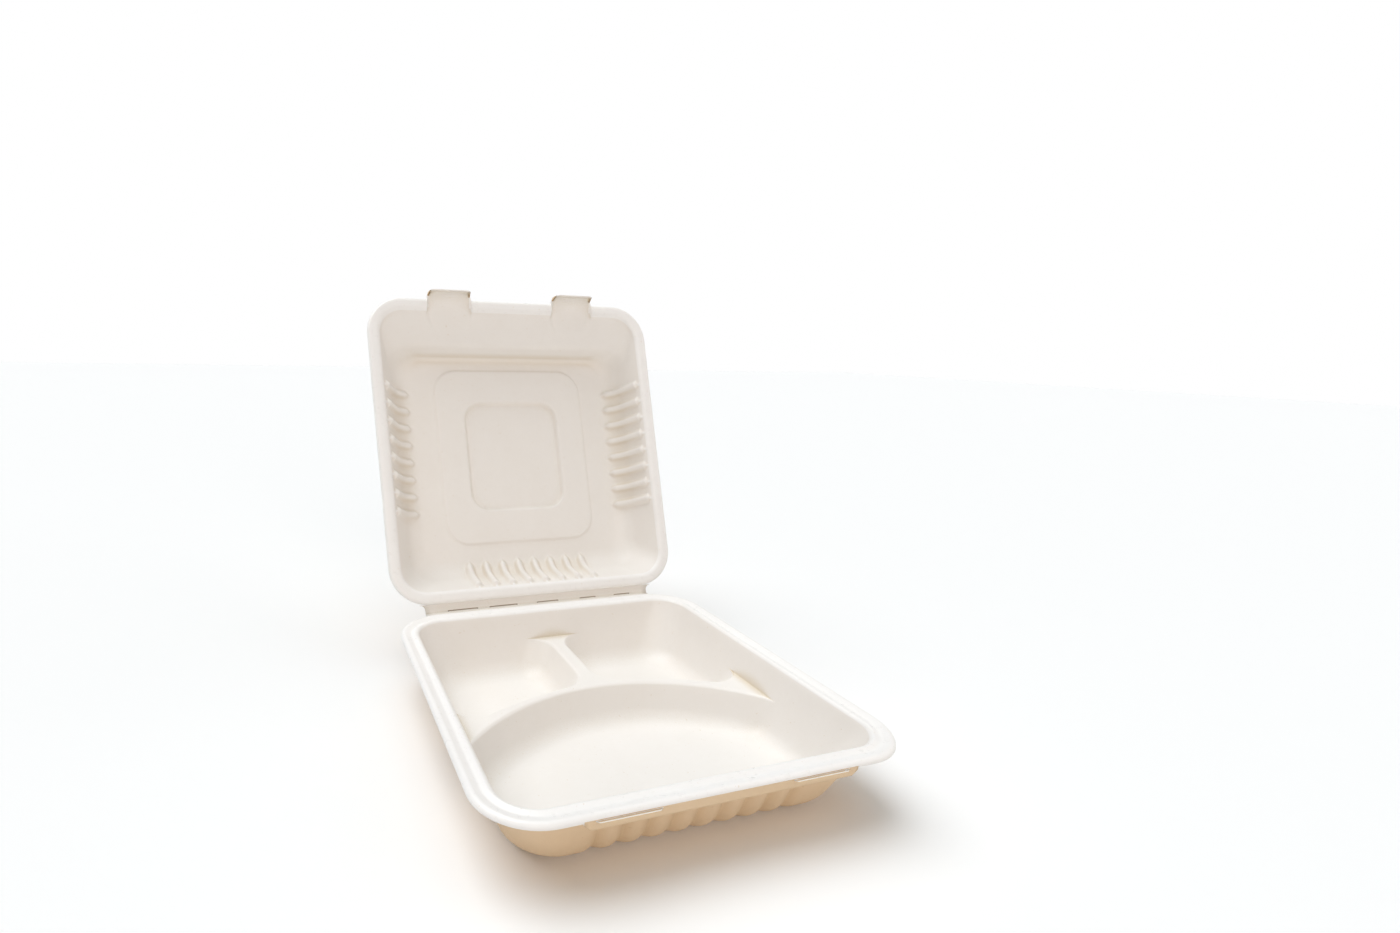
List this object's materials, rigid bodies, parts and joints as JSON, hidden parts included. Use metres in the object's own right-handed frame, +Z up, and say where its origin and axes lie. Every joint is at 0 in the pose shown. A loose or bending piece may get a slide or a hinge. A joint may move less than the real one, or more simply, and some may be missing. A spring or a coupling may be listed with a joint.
{
  "type": "clamshell food container",
  "caption": "Hinged takeaway box moulded from plant fibre, with a three-compartment tray and a ribbed lid standing open, two closing tongues and a slotted front lip.",
  "frame": {"origin": "centre of the base tray's footprint, on the surface it stands on", "axes": "+Z up, +Y from the slotted front lip towards the hinge, +X to the right of someone who faces the open tray from the front"},
  "size_m": [0.228, 0.345, 0.2667],
  "materials": {
    "base_fibre": "matt moulded fibre, off-white",
    "lid_fibre": "matt moulded fibre, off-white"
  },
  "bodies": {
    "base": {"base": "base_fibre"},
    "lid": {"lid": "lid_fibre"}
  },
  "joints": [
    {"name": "lid_hinge", "type": "hinge", "parent": "base", "child": "lid", "pos_m": [0, 0.1197, 0.0451], "axis": [1, 0, 0], "range_deg": [-66.7, 113.3]}
  ]
}
